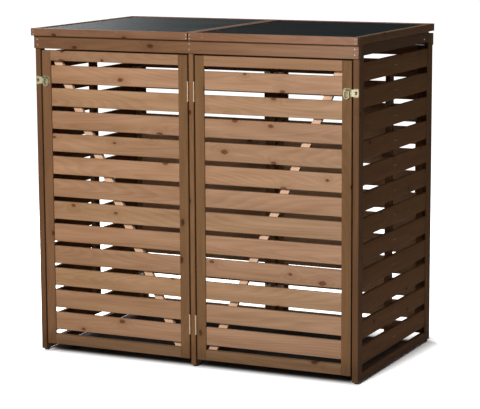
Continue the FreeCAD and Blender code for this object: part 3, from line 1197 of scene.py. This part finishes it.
# The right lid has a darker copy of the felt, painted shade for the sheen the left one catches, and
# it shines less
finish_with(slate_felt("slate grit on bitumen felt, left", "#363c40", 0.004), "left_lid_felt")
finish_with(slate_felt("slate grit on bitumen felt, right", "#262b2e", 0.0015), "right_lid_felt")
clout_steel = zinc("galvanised clout nails, weathered", "#3d4143", "#24282a", 0.6)
clout_radius, clout_stand = 0.0045, 0.12
clout_inset, clouts_across, clouts_along = 0.015, 5, 6
for side in ("left", "right"):
    low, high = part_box(f"{side}_lid_felt")
    left, right = low.x + clout_inset, high.x - clout_inset
    front, rear = low.y + clout_inset, high.y - clout_inset
    places = []
    for step in range(clouts_across):
        across = left + step * (right - left) / (clouts_across - 1)
        places += [(across, front), (across, rear)]
    for step in range(1, clouts_along - 1):
        along = front + step * (rear - front) / (clouts_along - 1)
        places += [(left, along), (right, along)]
    drive(
        f"{side}_felt_nails",
        nail_tree,
        [((x, y, high.z), (0, 0, 1)) for x, y in places],
        clout_radius,
        clout_steel,
        f"{side}_lid",
        clout_stand,
    )

# Floor: a plain pale sheet. The camera, metal and glass see it white, the store's
# shadow stays on it, and it lights the store as a light grey floor would.
def seen_rays(tree):
    """1 for the rays of the camera, of gloss and through glass, and 0 for the rest."""
    rays = add(tree, "ShaderNodeLightPath").outputs
    seen = rays["Is Camera Ray"]
    for kind in ("Is Glossy Ray", "Is Transmission Ray"):
        seen = add(
            tree, "ShaderNodeMath", {"operation": "MAXIMUM"}, {0: seen, 1: rays[kind]}
        ).outputs[0]
    return seen


edge = 30
corners = [(-edge, -edge, 0), (edge, -edge, 0), (edge, edge, 0), (-edge, edge, 0)]
floor_mesh = bpy.data.meshes.new("floor")
floor_mesh.from_pydata(corners, [], [(0, 1, 2, 3)])
floor = bpy.data.objects.new("floor", floor_mesh)
bpy.context.scene.collection.objects.link(floor)
floor_paint, tree = blank("white studio floor")
bounced = add(tree, "ShaderNodeBsdfDiffuse", {}, {"Color": linear("#a4a2a0")})
spot = add(tree, "ShaderNodeTexCoord").outputs["Object"]
# How far a place lies outside the store's footprint
half_width, half_depth, above_all = 0.660, 0.385, 9.0
aside = add(tree, "ShaderNodeVectorMath", {"operation": "ABSOLUTE"}, {0: spot})
out = add(
    tree,
    "ShaderNodeVectorMath",
    {"operation": "SUBTRACT"},
    {0: aside.outputs[0], 1: (half_width, half_depth, above_all)},
)
out = add(tree, "ShaderNodeSeparateXYZ", {}, {0: out.outputs[0]})
out = add(tree, "ShaderNodeMath", {"operation": "MAXIMUM"}, {0: out.outputs[0], 1: out.outputs[1]})
# Inside it the floor is painted in deep shade for the camera, and 140 mm outside it is white
lift = add(
    tree,
    "ShaderNodeMapRange",
    {"interpolation_type": "SMOOTHSTEP"},
    {0: out.outputs[0], "From Min": -0.06, "From Max": 0.01, "To Min": 0.08, "To Max": 2.1},
)
lift = add(tree, "ShaderNodeCombineXYZ", {}, {i: lift.outputs[0] for i in range(3)})
lit = add(tree, "ShaderNodeBsdfDiffuse", {}, {"Color": lift.outputs[0]})
rise = add(
    tree,
    "ShaderNodeMapRange",
    {"interpolation_type": "SMOOTHSTEP"},
    {0: out.outputs[0], "From Min": 0.0, "From Max": 0.14},
)
glow = add(
    tree,
    "ShaderNodeEmission",
    {},
    {"Color": (1.0, 1.0, 1.0, 1.0), "Strength": rise.outputs[0]},
)
white = add(tree, "ShaderNodeAddShader", {}, {0: lit.outputs[0], 1: glow.outputs[0]})
paint = add(
    tree,
    "ShaderNodeMixShader",
    {},
    {0: seen_rays(tree), 1: bounced.outputs[0], 2: white.outputs[0]},
)
add(tree, "ShaderNodeOutputMaterial", {}, {0: paint.outputs[0]})
floor_mesh.materials.append(floor_paint)

# World: white to the camera, metal and glass, and only a faint fill light on the
# store itself, so that its inside and its shadows stay dark.
world = bpy.data.worlds.new("studio")
bpy.context.scene.world = world
world.use_nodes = True
tree = world.node_tree
tree.nodes.clear()
strength = add(
    tree, "ShaderNodeMapRange", {}, {0: seen_rays(tree), "To Min": 0.06, "To Max": 1.0}
)
sky = add(
    tree,
    "ShaderNodeBackground",
    {},
    {"Color": (1.0, 1.0, 1.0, 1.0), "Strength": strength.outputs[0]},
)
add(tree, "ShaderNodeOutputWorld", {}, {0: sky.outputs[0]})


# Lamps: a large soft one high in front lights the doors evenly, as in a studio. A
# second one, behind on the left, lights the lids and the rear.
def lamp(name, place, aim, size, power):
    """A round lamp, size metres across, that faces a point."""
    light = bpy.data.lights.new(name, "AREA")
    light.shape = "DISK"
    light.size = size
    light.energy = power
    holder = bpy.data.objects.new(name, light)
    holder.location = place
    holder.rotation_euler = (Vector(aim) - Vector(place)).to_track_quat("-Z", "Y").to_euler()
    bpy.context.scene.collection.objects.link(holder)


lamp("key", (0.5, -5.7, 3.3), (0.05, -0.4, 0.7), 1.4, 335)
lamp("back light", (-2.3, 2.3, 2.0), (0.0, 0.0, 0.8), 1.0, 75)

# Camera: a long lens at the photograph's place, 7.2 m from the store's middle and
# half a metre above its lids. Its place, aim and lens were fitted to edges and
# corners read in the photograph, which is 480 pixels wide.
yaw, pitch, roll = math.radians(25.317), math.radians(9.304), math.radians(-0.291)
camera_place, focal_pixels, frame_pixels = (3.0662, -6.4455, 1.7284), 1867.89, 480
ahead = Vector(
    (-math.sin(yaw) * math.cos(pitch), math.cos(yaw) * math.cos(pitch), -math.sin(pitch))
)
right = Vector((math.cos(yaw), math.sin(yaw), 0))
up = right.cross(ahead)
right, up = (
    right * math.cos(roll) + up * math.sin(roll),
    up * math.cos(roll) - right * math.sin(roll),
)
lens = bpy.data.cameras.new("camera")
lens.sensor_width = 36.0
lens.lens = focal_pixels / frame_pixels * 36.0
lens.clip_end = 100.0
camera = bpy.data.objects.new("camera", lens)
turned = Matrix((right, up, -ahead)).transposed().to_4x4()
camera.matrix_world = Matrix.Translation(camera_place) @ turned
bpy.context.scene.collection.objects.link(camera)
bpy.context.scene.camera = camera
bpy.context.scene.view_settings.view_transform = "Standard"
